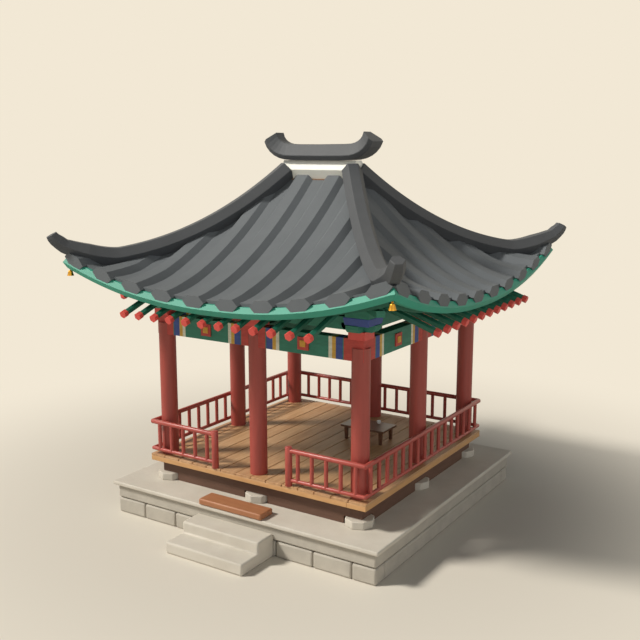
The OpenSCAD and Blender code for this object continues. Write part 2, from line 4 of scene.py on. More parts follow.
import bpy
import numpy as np
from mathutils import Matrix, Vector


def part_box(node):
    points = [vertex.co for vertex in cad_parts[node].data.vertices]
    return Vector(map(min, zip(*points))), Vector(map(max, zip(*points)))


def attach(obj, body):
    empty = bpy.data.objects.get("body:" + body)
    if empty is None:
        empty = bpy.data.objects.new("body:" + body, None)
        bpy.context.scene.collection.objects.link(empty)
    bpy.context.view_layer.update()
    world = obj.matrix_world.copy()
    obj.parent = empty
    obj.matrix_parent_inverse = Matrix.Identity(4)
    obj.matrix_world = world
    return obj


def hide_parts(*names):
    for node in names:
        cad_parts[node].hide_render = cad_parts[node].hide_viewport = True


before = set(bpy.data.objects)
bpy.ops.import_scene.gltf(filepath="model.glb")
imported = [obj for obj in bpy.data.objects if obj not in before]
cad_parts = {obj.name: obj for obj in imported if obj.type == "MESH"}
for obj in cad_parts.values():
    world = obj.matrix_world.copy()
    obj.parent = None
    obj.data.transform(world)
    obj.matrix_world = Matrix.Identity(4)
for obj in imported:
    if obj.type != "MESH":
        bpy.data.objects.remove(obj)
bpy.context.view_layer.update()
HOUSE = "pavilion"
CORNERS = {"fl": (-1, -1), "fr": (1, -1), "bl": (-1, 1), "br": (1, 1)}
BELLS = ("fl", "fr")
TURNS = (0, 90, 180, 270)

# ---------- camera ----------
eye = bpy.data.cameras.new("eye")
eye.lens = 50.2
eye.sensor_width = 36
camera = bpy.data.objects.new("camera", eye)
camera.location = (8.7507, -13.6447, 6.4852)
camera.rotation_euler = (math.radians(90 - 10.762), 0, math.radians(32.809))
bpy.context.collection.objects.link(camera)
scene = bpy.context.scene
scene.camera = camera
scene.view_settings.view_transform = "Standard"


# ---------- materials ----------
def linear(code):
    """sRGB hex to linear light: c / 12.92 up to 0.04045, ((c + 0.055) / 1.055) to the power 2.4 above."""
    c = np.array([int(code[i:i + 2], 16) for i in (0, 2, 4)]) / 255
    c = np.where(c <= 0.04045, c / 12.92, ((c + 0.055) / 1.055) ** 2.4)
    return (*c.tolist(), 1.0)


def add(tree, kind, inputs=None, **settings):
    """Adds one node; an input is a value, or a pair of a node and the name of its output."""
    node = tree.nodes.new(kind)
    for key, value in settings.items():
        setattr(node, key, value)
    for key, value in (inputs or {}).items():
        if isinstance(value, tuple) and hasattr(value[0], "outputs"):
            tree.links.new(value[0].outputs[value[1]], node.inputs[key])
        else:
            node.inputs[key].default_value = value
    return node


MIX_SHARE, COLOUR_A, COLOUR_B, COLOUR_OUT = 0, 6, 7, 2  # places of a Mix node's sockets for colour


def finish(name, colour, deep, scale, grain=(1, 1, 1), amount=0.5, fine=60.0, bump=0.3, depth=0.004,
           rough=0.6, rough_low=None, metallic=0.0, painted=False, speckle=None):
    """A surface whose colour drifts between two hexes in a stretched noise, with a finer noise as relief.

    scale: waves of the slow drift in a metre, grain: stretch along X, Y, Z, amount: most of the second colour,
    fine: waves of the relief in a metre, bump and depth: its strength and height in metres, rough_low to rough:
    roughness over the relief, painted: the first colour is the piece's own attribute 'paint', and the second is
    that times the deep hex, speckle: hex of mineral grains."""
    m = bpy.data.materials.new(name)
    m.use_nodes = True
    t = m.node_tree
    t.nodes.clear()
    place = add(t, "ShaderNodeTexCoord")
    axes = add(t, "ShaderNodeMapping", {"Vector": (place, "Object"), "Scale": grain})
    drift = add(t, "ShaderNodeTexNoise",
                {"Vector": (axes, "Vector"), "Scale": scale, "Detail": 5.0, "Roughness": 0.6})
    share = add(t, "ShaderNodeMapRange",
                {"Value": (drift, "Fac"), "From Min": 0.32, "From Max": 0.68, "To Max": amount})
    first, second = linear(colour), linear(deep)
    if painted:
        first = (add(t, "ShaderNodeAttribute", attribute_name="paint"), "Color")
        shade = add(t, "ShaderNodeMix", {MIX_SHARE: 1.0, COLOUR_A: first, COLOUR_B: linear(deep)},
                    data_type="RGBA", blend_type="MULTIPLY")
        second = (shade, COLOUR_OUT)
    tone = add(t, "ShaderNodeMix", {"Factor": (share, "Result"), COLOUR_A: first, COLOUR_B: second},
               data_type="RGBA")
    if speckle:
        dots = add(t, "ShaderNodeTexVoronoi", {"Vector": (place, "Object"), "Scale": 130.0})
        grains = add(t, "ShaderNodeMapRange", {"Value": (dots, "Distance"), "From Min": 0.12, "From Max": 0.34,
                                               "To Min": 0.38, "To Max": 0.0})
        tone = add(t, "ShaderNodeMix", {"Factor": (grains, "Result"), COLOUR_A: (tone, COLOUR_OUT),
                                        COLOUR_B: linear(speckle)}, data_type="RGBA")
    relief = add(t, "ShaderNodeTexNoise", {"Vector": (axes, "Vector"), "Scale": fine, "Detail": 3.0})
    lift = add(t, "ShaderNodeBump", {"Height": (relief, "Fac"), "Strength": bump, "Distance": depth})
    gloss = add(t, "ShaderNodeMapRange", {"Value": (relief, "Fac"), "From Min": 0.3, "From Max": 0.7,
                                          "To Min": rough if rough_low is None else rough_low, "To Max": rough})
    skin = add(t, "ShaderNodeBsdfPrincipled", {"Base Color": (tone, COLOUR_OUT), "Roughness": (gloss, "Result"),
                                               "Normal": (lift, "Normal"), "Metallic": metallic})
    add(t, "ShaderNodeOutputMaterial", {"Surface": (skin, "BSDF")})
    return m


# bush-hammered granite: even light grey with small mineral grains and a soft dull surface
granite = finish("granite_hammered", "CBC4B7", "BEB6A8", 2.2, amount=0.7, fine=170.0, bump=0.25, depth=0.003,
                 rough=0.85, speckle="A19D92")
granite_lower = finish("granite_blocks", "B7B0A3", "A8A195", 3.5, amount=0.8, fine=150.0, bump=0.35, depth=0.004,
                       rough=0.88, speckle="928E84")
# planed pine, oiled: long streaks along the board, warm tan that differs from board to board, satin
deck = finish("pine_planks_toned", "C49B70", "DCD0C4", 9.0, (2.2, 0.16, 1), 0.8, 60.0, 0.25, 0.002, 0.55, 0.45,
              painted=True)
edge_pine = finish("pine_edge_boards", "CB9C69", "B98A58", 7.0, (0.5, 0.5, 2.5), 0.7, 55.0, 0.25, 0.002, 0.55,
                   0.45)
# pine stained brown: streaks along the beam, darker where it carries the floor, nearly matt
step_pine = finish("pine_step_stained", "A8714D", "95603F", 8.0, (0.25, 2.2, 2.2), 0.75, 60.0, 0.3, 0.002, 0.55,
                   0.45)
sill_wood = finish("sill_timber_stained", "65483A", "513829", 6.0, (0.4, 0.4, 3.0), 0.7, 60.0, 0.3, 0.003, 0.65)
# raw pine of the roof frame: brown with age, streaked along Y, matt
roof_wood = finish("roof_timber_raw", "8E6A48", "6F4F34", 6.0, (1, 0.3, 1), 0.7, 60.0, 0.3, 0.003, 0.7)
# iron-red paint on turned pine: long faint brush streaks up the shaft, satin
column_red = finish("column_paint", "A4473D", "943F36", 5.0, (3, 3, 0.35), 0.7, 40.0, 0.18, 0.002, 0.5, 0.4)
rail_red = finish("rail_paint", "AC4C42", "983F37", 6.0, (1.5, 1.5, 1.5), 0.6, 60.0, 0.18, 0.001, 0.42, 0.34)
cap_red = finish("rafter_end_paint", "DB5148", "C9453D", 14.0, amount=0.5, fine=80.0, bump=0.2, depth=0.001,
                 rough=0.5)
# mineral paint on beams, blocks and rafters: matt, slightly uneven, in bands of colour on the tie beams
beam_paint = finish("beam_paint", "2F7D66", "D9D6D2", 8.0, (0.8, 0.8, 3.0), 0.8, 70.0, 0.25, 0.0015, 0.6,
                    painted=True)
beam_green = finish("beam_green_paint", "2F7D66", "276B57", 8.0, (0.8, 0.8, 3.0), 0.7, 70.0, 0.25, 0.0015, 0.6)
block_blue = finish("block_blue_paint", "3A4F95", "30427F", 9.0, amount=0.6, fine=70.0, bump=0.25, depth=0.0015,
                    rough=0.55)
rafter_green = finish("rafter_green_paint", "1F6B55", "185744", 8.0, (1, 1, 1), 0.7, 70.0, 0.2, 0.0015, 0.55)
eave_green = finish("eave_green_paint", "2F957D", "2B8B74", 3.0, (1, 1, 2.0), 0.6, 60.0, 0.2, 0.0015, 0.55)
# unglazed fired clay: smoke-grey, drifting from tile to tile, dry and dull
tile = finish("roof_tile_clay", "5D6266", "575C60", 2.0, (1, 1, 1), 0.8, 70.0, 0.3, 0.002, 0.74, 0.66)
hip_tile = finish("hip_tile_clay", "484B4F", "424549", 3.0, (1, 1, 1), 0.8, 70.0, 0.3, 0.003, 0.68, 0.6)
# trowelled lime plaster: warm white, faintly cloudy, dull
lime = finish("lime_plaster", "FFFEF4", "FAF8EC", 5.0, amount=0.6, fine=45.0, bump=0.3, depth=0.003, rough=0.8)
# brushed lacquer on hardwood: dark brown with the grain showing through, soft gloss
lacquer = finish("table_lacquer", "6B4A35", "573A29", 8.0, (0.4, 2.5, 2.5), 0.7, 50.0, 0.2, 0.001, 0.35, 0.28)
# glazed porcelain: even white with a sharp gloss
glaze = finish("porcelain_glaze", "F1F0EA", "E6E4DC", 20.0, amount=0.4, fine=60.0, bump=0.08, depth=0.0005,
               rough=0.14)
# cast brass, hand-finished: metal with a dull brown bloom
brass = finish("bell_brass", "D9A441", "A87428", 25.0, amount=0.8, fine=140.0, bump=0.25, depth=0.0006,
               rough=0.42, rough_low=0.3, metallic=1.0)


# ---------- shapes ----------
def outward(part):
    """Turns the faces out. Six times the volume is the sum, over the triangles, of one corner dot the cross
    product of the other two; where it comes out negative, the faces point inwards and are turned round."""
    v, faces = part
    volume = 0.0
    for f in faces:
        p = v[list(f)]
        volume += np.einsum("ij,ij->", np.cross(p[1:-1], p[2:]), np.broadcast_to(p[0], p[2:].shape))
    return (v, faces) if volume > 0 else (v, [tuple(reversed(f)) for f in faces])


def turned(part, degrees):
    """x' = x cos a - y sin a, y' = x sin a + y cos a."""
    a = math.radians(degrees)
    c, s = math.cos(a), math.sin(a)
    v = part[0]
    return np.column_stack([v[:, 0] * c - v[:, 1] * s, v[:, 0] * s + v[:, 1] * c, v[:, 2]]), part[1]


def mirrored(part, sx, sy):
    """Scales X by sx and Y by sy, each 1 or -1, and turns the faces out again."""
    return outward((part[0] * np.array([sx, sy, 1.0]), part[1]))


def moved(part, x=0.0, y=0.0, z=0.0):
    return part[0] + np.array([x, y, z]), part[1]


def rings(grid):
    """Closed tube: grid[i, j] is point j of ring i; neighbours make quads, the end rings make the end faces."""
    n, m = grid.shape[:2]
    i, j = np.meshgrid(np.arange(n - 1), np.arange(m), indexing="ij")
    k = (j + 1) % m
    quads = np.stack([i * m + j, i * m + k, (i + 1) * m + k, (i + 1) * m + j], -1).reshape(-1, 4)
    faces = [tuple(q) for q in quads.tolist()]
    faces += [tuple(range(m - 1, -1, -1)), tuple((n - 1) * m + q for q in range(m))]
    return outward((grid.reshape(-1, 3), faces))


def slab(top, bottom):
    """Closed sheet between two grids of equal shape: top and bottom faces and a wall round the border."""
    n, m = top.shape[:2]
    v = np.concatenate([top.reshape(-1, 3), bottom.reshape(-1, 3)])
    i, j = np.meshgrid(np.arange(n - 1), np.arange(m - 1), indexing="ij")
    a = (i * m + j).ravel()
    up = np.stack([a, a + 1, a + m + 1, a + m], -1)
    faces = [tuple(q) for q in up.tolist()] + [tuple(q) for q in (up[:, ::-1] + n * m).tolist()]
    edge = [(0, q) for q in range(m)] + [(q, m - 1) for q in range(1, n)]
    edge += [(n - 1, q) for q in range(m - 2, -1, -1)] + [(q, 0) for q in range(n - 2, 0, -1)]
    ids = [q[0] * m + q[1] for q in edge]
    for p, q in zip(ids, ids[1:] + ids[:1]):
        faces.append((q, p, p + n * m, q + n * m))
    return outward((v, faces))


def block(lo, hi, taper=0.0):
    """Box between two corners; the lower face shrinks by the taper on each side."""
    (x0, y0, z0), (x1, y1, z1) = lo, hi
    k = taper
    low = np.array([[x0 + k, y0 + k, z0], [x1 - k, y0 + k, z0], [x1 - k, y1 - k, z0], [x0 + k, y1 - k, z0]])
    high = np.array([[x0, y0, z1], [x1, y0, z1], [x1, y1, z1], [x0, y1, z1]])
    return rings(np.stack([low, high]))


def prism(outline, axis, start, end):
    """Carries a flat outline along one axis: axis 0 takes points as (y, z), axis 1 as (x, z) and axis 2 as
    (x, y)."""
    o = np.array(outline, float)
    ends = []
    for s in (start, end):
        cols = [o[:, 0], o[:, 1]]
        cols.insert(axis, np.full(len(o), float(s)))
        ends.append(np.column_stack(cols))
    return rings(np.stack(ends))


def round_bar(p, q, r, sides=24, dome=0.0):
    """Circle of radius r from point p to point q; with a dome the ends close as r cos(w), moved out by
    dome sin(w)."""
    p, q = np.array(p, float), np.array(q, float)
    along = (q - p) / np.linalg.norm(q - p)
    side = np.cross(along, (0, 0, 1) if abs(along[2]) < 0.9 else (1, 0, 0))
    side /= np.linalg.norm(side)
    up = np.cross(side, along)
    w = np.linspace(0, math.pi / 2 * 0.94, 5) if dome else np.zeros(1)
    rad = np.concatenate([r * np.cos(w[::-1]), r * np.cos(w)])
    off = np.concatenate([-dome * np.sin(w[::-1]), np.linalg.norm(q - p) + dome * np.sin(w)])
    a = np.linspace(0, 2 * math.pi, sides, endpoint=False) + math.pi / sides
    ring = np.cos(a)[:, None] * side + np.sin(a)[:, None] * up
    return rings(p + off[:, None, None] * along + rad[:, None, None] * ring)


def lathe(profile, centre=(0, 0), sides=32):
    """Turns (radius, height) pairs round the upright axis; the first and last rings are closed."""
    pr = np.array(profile, float)
    a = np.linspace(0, 2 * math.pi, sides, endpoint=False)
    x, y = centre[0] + pr[:, :1] * np.cos(a), centre[1] + pr[:, :1] * np.sin(a)
    return rings(np.stack([x, y, np.repeat(pr[:, 1:], sides, 1)], -1))


def hexagon(radius):
    """Six corners at r cos(a), r sin(a), the first on the first axis."""
    a = np.arange(6) * math.pi / 3
    return radius * np.cos(a), radius * np.sin(a)


def piece(name, parts, material, stands_for=(), body=HOUSE, bevel=0.0, segments=2, smooth=None, paints=None):
    """Joins parts into one object. paints gives one hex a part, kept in the attribute 'paint'."""
    verts, faces, colours, at = [], [], [], 0
    for i, (v, f) in enumerate(parts):
        verts.append(v)
        faces += [tuple(k + at for k in q) for q in f]
        at += len(v)
        if paints:
            colours.append(np.tile(linear(paints[i]), (len(v), 1)))
    mesh = bpy.data.meshes.new(name)
    mesh.from_pydata(np.concatenate(verts).tolist(), [], faces)
    if paints:
        layer = mesh.attributes.new("paint", "FLOAT_COLOR", "POINT")
        layer.data.foreach_set("color", np.concatenate(colours).ravel())
    mesh.materials.append(material)
    ob = bpy.data.objects.new(name, mesh)
    bpy.context.collection.objects.link(ob)
    if bevel:
        rounded = ob.modifiers.new("rounded", "BEVEL")
        rounded.width = bevel
        rounded.segments = segments
        rounded.limit_method = "ANGLE"
        rounded.angle_limit = math.radians(32)
    if smooth is not None:
        mesh.shade_smooth()
        mesh.set_sharp_from_angle(angle=math.radians(smooth))
    mesh.update()
    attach(ob, body)
    if stands_for:
        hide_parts(*stands_for)
    return ob


def on_four(part):
    return [turned(part, a) for a in TURNS]


# ---------- podium and steps ----------
low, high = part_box("podium_blocks")
FOOT, BLOCK_TOP = high[0], high[2]
low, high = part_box("podium_course")
COURSE_TOP = high[2]
low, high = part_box("podium_cap")
CAP, STONE_TOP = high[0], high[2]
BED = 0.022  # open bed joint over the lower course
JOINTS = [0.104 + 0.716 * k for k in range(-3, 4)]
JOINT = 0.014  # open joint between two blocks
DEEP = 0.30  # how far a block reaches into the podium
SIDE_GAP = 0.002  # from the side blocks to the front and back rows
STONE_EDGE = {"segments": 3, "smooth": 40}


def block_row():
    """The front row of the lower course: one block from joint to joint, less half a joint at each inner end."""
    marks = [-FOOT] + JOINTS + [FOOT]
    last = len(marks) - 2
    row = []
    for i in range(last + 1):
        a = marks[i] + (JOINT / 2 if i else 0)
        b = marks[i + 1] - (JOINT / 2 if i < last else 0)
        row.append(block((a, -FOOT, 0), (b, -FOOT + DEEP, BLOCK_TOP)))
    return row


row = block_row()
side_y = FOOT - DEEP - SIDE_GAP
side_block = block((-FOOT, -side_y, 0), (-FOOT + DEEP, side_y, BLOCK_TOP))
blocks = row + [turned(b, 180) for b in row] + [side_block, turned(side_block, 180)]
piece("stone_blocks", blocks, granite_lower, ["podium_blocks"], bevel=0.032, **STONE_EDGE)
# painted shade: a dark stained-timber block inside the podium, seen only through the open joints, that darkens
# them
inset = FOOT - 0.06
joint_shade_block = block((-inset, -inset, 0.01), (inset, inset, BLOCK_TOP + BED + 0.02))
piece("stone_joint_painted_shade", [joint_shade_block], sill_wood, bevel=0.004)
course = block((-FOOT, -FOOT, BLOCK_TOP + BED - 0.006), (FOOT, FOOT, COURSE_TOP - 0.001))
piece("stone_course", [course], granite_lower, ["podium_course"], bevel=0.026, **STONE_EDGE)
cap_slab = block((-CAP, -CAP, COURSE_TOP), (CAP, CAP, STONE_TOP))
piece("stone_cap", [cap_slab], granite, ["podium_cap"], bevel=0.022, **STONE_EDGE)
low_lo, low_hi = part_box("step_lower")
up_lo, up_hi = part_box("step_upper")
wall = -FOOT + 0.004
outline = [(low_lo[1], 0), (wall, 0), (wall, up_hi[2]), (up_lo[1], up_hi[2]), (up_lo[1], low_hi[2]),
           (low_lo[1], low_hi[2])]
steps = prism(outline, 0, low_lo[0], low_hi[0])
piece("stone_steps", [steps], granite, ["step_lower", "step_upper"], bevel=0.03, **STONE_EDGE)
lo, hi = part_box("step_board")
piece("timber_step", [block(lo, hi)], step_pine, ["step_board"], bevel=0.024, **STONE_EDGE)

BAY = 2.0  # from column to column
SPOTS = [(i * BAY, j * BAY) for i in (-1, 0, 1) for j in (-1, 0, 1) if i or j]
lo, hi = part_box("base_stones")
STONE_R = hi[0] - BAY
stone = lathe([(STONE_R, lo[2]), (STONE_R, hi[2])], sides=8)
stones = [moved(stone, x, y) for x, y in SPOTS]
piece("base_stones_cut", stones, granite, ["base_stones"], bevel=0.014, segments=2, smooth=40)

# ---------- floor ----------
lo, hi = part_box("sill_beams")
SILL = hi[0]
SILL_WIDE = 0.2
LAP = 0.004  # how far a sill runs into a base stone
stone_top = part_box("base_stones")[1][2]
sills = []
for a in TURNS:
    for u0, u1 in ((-BAY + STONE_R - LAP, -STONE_R + LAP), (STONE_R - LAP, BAY - STONE_R + LAP)):
        between = block((u0, -SILL, lo[2]), (u1, -SILL + SILL_WIDE, stone_top + 0.01))
        sills.append(turned(between, a))
    above = block((-SILL, -SILL, stone_top + 0.001), (SILL - SILL_WIDE, -SILL + SILL_WIDE, hi[2]))
    sills.append(turned(above, a))
piece("sill_timbers", sills, sill_wood, ["sill_beams"], bevel=0.006, segments=2, smooth=40)
lo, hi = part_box("floor_edge")
EDGE = hi[0]
EDGE_WIDE = 0.35
edge_board = block((-EDGE, -EDGE, lo[2]), (EDGE - EDGE_WIDE, -EDGE + EDGE_WIDE, hi[2]))
piece("floor_edge_boards", on_four(edge_board), edge_pine, ["floor_edge"], bevel=0.008, segments=2, smooth=40)
lo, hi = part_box("floor_planks")
DECK = hi[2]
COUNT = 14
PITCH = 2 * EDGE / COUNT
GAP = 0.016
PLANK_TONES = ("C49B70", "C0966A", "C79F75", "BD9369")
rng = np.random.default_rng(7)
planks, tints = [], []
for i in range(COUNT):
    a = -EDGE + i * PITCH + (GAP / 2 if i else 0)
    b = -EDGE + (i + 1) * PITCH - (GAP / 2 if i < COUNT - 1 else 0)
    planks.append(block((a, -EDGE, lo[2] - 0.002), (b, EDGE, DECK)))
    tints.append(PLANK_TONES[int(rng.integers(len(PLANK_TONES)))])
piece("floor_boards", planks, deck, ["floor_planks"], bevel=0.004, segments=2, smooth=40, paints=tints)

# ---------- columns ----------
lo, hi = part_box("columns")
COL = hi[0] - BAY
shaft = round_bar((0, 0, lo[2]), (0, 0, hi[2] - 0.001), COL, 40)
piece("round_columns", [moved(shaft, x, y) for x, y in SPOTS], column_red, ["columns"], smooth=30)

# ---------- tie beams with colour bands ----------
lo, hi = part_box("tie_beams")
FACE, TIE_LOW, TIE_TOP = hi[0], lo[2], hi[2]
HALF = FACE - BAY
GREEN, RED, GOLD = "2F7D66", "C2473D", "E0A83E"
# hex of each band, and how far from the column's middle it reaches
BANDS = [(RED, 0.25), (GREEN, 0.268), ("3C5298", 0.392), ("D9A945", 0.462), ("E4E2CC", 0.527)]


def beam_spans():
    """(start, end, hex) along one side: the bands mirrored about each of its three columns, green between."""
    reach = [0.0] + [far for _, far in BANDS]
    order = range(len(BANDS))
    spans = []
    for centre in (-BAY, 0, BAY):
        spans += [(centre - reach[k + 1], centre - reach[k], BANDS[k][0]) for k in reversed(order)]
        spans += [(centre + reach[k], centre + reach[k + 1], BANDS[k][0]) for k in order]
    plain = reach[-1]
    return spans + [(-BAY + plain, -plain, GREEN), (plain, BAY - plain, GREEN)]


parts, paints = [], []
for a in TURNS:
    for start, end, shade in beam_spans():
        start, end = max(start, -FACE), min(end, FACE - 2 * HALF)
        if end - start > 0.001:
            parts.append(turned(block((start, -FACE, TIE_LOW), (end, -FACE + 2 * HALF, TIE_TOP)), a))
            paints.append(shade)
piece("tie_beams_painted", parts, beam_paint, ["tie_beams"], paints=paints)
lo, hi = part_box("beam_bosses")
BOSS = (hi[2] - lo[2]) / 2
mid = (hi[2] + lo[2]) / 2
# each ornament: half width, how far its face and its back stand before the beam's face, hex
LAYERS = ((BOSS, 0.022, -0.002, RED), (BOSS * 0.5, 0.034, 0.012, GOLD))
parts, paints = [], []
for a in TURNS:
    for x in (-BAY / 2, BAY / 2):
        for r, front, back, shade in LAYERS:
            parts.append(turned(block((x - r, -FACE - front, mid - r), (x + r, -FACE - back, mid + r)), a))
            paints.append(shade)
piece("beam_square_ornaments", parts, beam_paint, ["beam_bosses"], bevel=0.004, paints=paints)

# ---------- brackets ----------
lo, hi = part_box("head_blocks")
HEAD = hi[0] - BAY
head = block((-HEAD, -HEAD, lo[2] - 0.002), (HEAD, HEAD, hi[2]))
piece("head_blocks_red", [moved(head, x, y) for x, y in SPOTS], cap_red, ["head_blocks"], bevel=0.005)
lo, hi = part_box("bracket_arms")
REACH = hi[0] - BAY
CUT = 0.05  # chamfer under an arm's end
arm = [(-REACH, hi[2]), (-REACH, lo[2] + CUT), (-REACH + CUT, lo[2]), (REACH - CUT, lo[2]),
       (REACH, lo[2] + CUT), (REACH, hi[2])]
cross = [prism(arm, 1, -HALF, HALF), prism(arm, 0, -HALF, HALF)]
arms = [moved(p, x, y) for x, y in SPOTS for p in cross]
piece("bracket_arms_cut", arms, beam_green, ["bracket_arms"], bevel=0.006)
lo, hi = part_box("bearing_blocks")
OUT = 0.08  # how far the bearing blocks stand out from the columns' lines
R = hi[0] - BAY - OUT
PAD = BAY + OUT
bearing = block((-R, -R, lo[2]), (R, R, hi[2]), 0.018)
bearings = [moved(bearing, x * PAD / BAY, y * PAD / BAY) for x, y in SPOTS]
piece("bearing_blocks_blue", bearings, block_blue, ["bearing_blocks"], bevel=0.010, segments=2)
lo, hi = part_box("purlins")
purlin = block((-BAY + HALF, -FACE, lo[2]), (BAY - HALF, -FACE + 2 * HALF, hi[2]))
piece("wall_purlins", on_four(purlin), beam_green, ["purlins"], bevel=0.006)
RAFTER_STEP = 0.332
RAFTERS = [RAFTER_STEP * (i - 5.5) for i in range(12)]
PAD_IN = RAFTERS[-1] + 0.0573  # a corner pad begins beside the outer rafter
lo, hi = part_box("eave_beams")
beam = block((-PAD + R, -FACE, lo[2]), (PAD - R, -FACE + 2 * HALF, hi[2]))
corner_pad = block((PAD_IN, -PAD - R, lo[2]), (PAD + R, -PAD_IN, hi[2]))
parts = [turned(p, a) for a in TURNS for p in (beam, corner_pad)]
piece("eave_beams_green", parts, beam_green, ["eave_beams"], bevel=0.006)

# ---------- roof surface ----------
EAVE = 3.2  # half width over the eaves
RIDGE_X, RIDGE_Y, RIDGE_Z = 0.70, 0.12, 5.97
EAVE_Z, CORNER_LIFT, HIP_LIFT = 4.20, 0.54, 0.28
MID_BOW, HIP_BOW, LIFT_BOW = 1.6, 2.2, 1.4
SIDE_BOW = 2.2  # how late the eave turns up towards a corner
UPTURN = 0.76  # share of the hip at which its end begins to rise
RAFTER_TIP = 3.245


def mid_z(s):
    """Height up the middle of a slope: the eave's plus the rise to the ridge times (1 - s) to the power 1.6."""
    return EAVE_Z + (RIDGE_Z - EAVE_Z) * np.clip(1 - s, 0, None) ** MID_BOW


def hip_z(s):
    """Height along a hip: its low point plus the rise to the ridge times (1 - s) to the power 2.2, plus an
    upturn of 0.28 ((s - 0.76) / 0.24) to the power 1.4."""
    base = EAVE_Z + CORNER_LIFT - HIP_LIFT
    upturn = HIP_LIFT * (np.clip(s - UPTURN, 0, None) / (1 - UPTURN)) ** LIFT_BOW
    return base + (RIDGE_Z - base) * np.clip(1 - s, 0, None) ** HIP_BOW + upturn


def bed_z(u, v, x0, v0):
    """Height of the tile bed: the middle's, lifted to the hip's by (|u| / half width) to the power 2.2."""
    s = (v - v0) / (EAVE - v0)
    w = x0 + (EAVE - x0) * s
    return mid_z(s) + (hip_z(s) - mid_z(s)) * np.minimum(1, np.abs(u) / w) ** SIDE_BOW


def board_top(x):
    """Top of the eave board: 50 mm under the eave, rising to the corners with |x| to the power 2.2."""
    return EAVE_Z - 0.05 + CORNER_LIFT * np.minimum(1, np.abs(x) / EAVE) ** SIDE_BOW


ROWS = 10
ROW_END = 3.215
ROW_STEP = 0.659
ROW_WIDE, ROW_FLAT, ROW_HIGH = 0.215, 0.115, 0.1
SECTION = np.array([(-ROW_WIDE, 0.0), (-ROW_FLAT, ROW_HIGH), (ROW_FLAT, ROW_HIGH),
                    (ROW_WIDE, 0.0), (ROW_FLAT, -ROW_HIGH), (-ROW_FLAT, -ROW_HIGH)])
DROP, DROP_FROM = 0.035, 2.7  # the rows' ends sink a little past this distance from the middle
BED_END, BED_THICK = 3.12, 0.062
BOARD_END = 2.98
SLOPE = 0.35  # rise of a rafter for each metre inwards
RAFTER_TOP = 3.88  # height of the rafters' upper side at their tips


def tile_row(centre, x0, v0, stations=40):
    """A flattened six-sided tube down the slope: it starts on the hip's line under the hip tube and ends square
    at the eave, where it sinks by 35 mm times (share of the last stretch) to the power 1.5."""
    u = centre + SECTION[:, 0]
    rise = (EAVE - v0) / (EAVE - x0)
    start = np.maximum(v0 + 0.01, v0 + (np.abs(u) - x0) * rise + 0.05)
    start = np.minimum(start, ROW_END - 0.04)
    t = np.linspace(0, 1, stations)[:, None]
    v = start + (ROW_END - start) * t
    h = SECTION[:, 1] - DROP * np.clip((v - DROP_FROM) / (ROW_END - DROP_FROM), 0, 1) ** 1.5
    return rings(np.stack([np.broadcast_to(u, v.shape), -v, bed_z(u, v, x0, v0) + h], -1))


def slope_grid(x0, v0, start, end, rows, across, widest, narrow=1.0):
    """Places over a slope: v runs from start to end, u from side to side of the slope's width at v."""
    v = np.linspace(start, end, rows)[:, None]
    w = x0 + (EAVE - x0) * (v - v0) / (EAVE - v0)
    u = np.linspace(-1, 1, across)[None, :] * np.minimum(w, widest) * narrow
    return u, np.broadcast_to(v, u.shape)


def tile_bed(x0, v0):
    """The pans between the rows: the bed's surface over a grid, six centimetres thick."""
    u, v = slope_grid(x0, v0, v0 + 0.005, BED_END, 48, 61, BED_END)
    top = np.stack([u, -v, bed_z(u, v, x0, v0)], -1)
    return slab(top, top - np.array([0, 0, BED_THICK]))


def soffit(x0, v0):
    """Boards under the bed: they follow the rafters' plane near the walls and the bed's curve elsewhere."""
    u, v = slope_grid(x0, v0, v0 + 0.01, BOARD_END, 40, 41, EAVE, 0.995)
    bed = bed_z(u, v, x0, v0)
    top = bed - 0.063
    plane = RAFTER_TOP + (RAFTER_TIP - v) * SLOPE
    lifted = plane + bed - mid_z((v - v0) / (EAVE - v0))
    under = np.minimum(top - 0.03, np.maximum(lifted, top - 0.2))
    return slab(np.stack([u, -v, top], -1), np.stack([u, -v, under], -1))


FACES = {"front": (0, RIDGE_X, RIDGE_Y), "right": (90, RIDGE_Y, RIDGE_X),
         "back": (180, RIDGE_X, RIDGE_Y), "left": (270, RIDGE_Y, RIDGE_X)}
for side, (angle, x0, v0) in FACES.items():
    centres = [(i + 0.5) * ROW_STEP for i in range(-ROWS // 2, ROWS // 2)]
    tubes = [turned(tile_row(centre, x0, v0), angle) for centre in centres]
    piece("tile_rows_" + side, tubes, tile, ["roof_" + side], bevel=0.006, segments=1)
    piece("tile_bed_" + side, [turned(tile_bed(x0, v0), angle)], tile, smooth=30)
    piece("roof_boards_" + side, [turned(soffit(x0, v0), angle)], rafter_green, smooth=30)

# ---------- eave boards ----------
BOARD_R = 0.104
MIDLINE = EAVE - 0.078


def eave_board():
    """A six-sided bar under the tile ends, its ends mitred at the corners, its top on the board's line."""
    across, up = hexagon(BOARD_R)
    y = -MIDLINE + across[None, :]
    x = np.linspace(-1, 1, 61)[:, None] * -y
    z = board_top(x) - BOARD_R * math.sin(math.pi / 3) + up[None, :]
    return rings(np.stack([x, np.broadcast_to(y, x.shape), z], -1))


piece("eave_boards_green", on_four(eave_board()), eave_green, ["eave_boards"])

# ---------- hip ridges ----------
RUN_X, RUN_Y = EAVE - RIDGE_X, EAVE - RIDGE_Y
LEN = math.hypot(RUN_X, RUN_Y)
DX, DY = RUN_X / LEN, RUN_Y / LEN
HIP_R = 0.184
# the upturned tip: share of the hip, rise, lean in degrees, radius
TIP = ((1.02, 0.045, 36, 0.136), (1.034, 0.09, 48, 0.128), (1.044, 0.135, 57, 0.118), (1.050, 0.178, 62, 0.108))


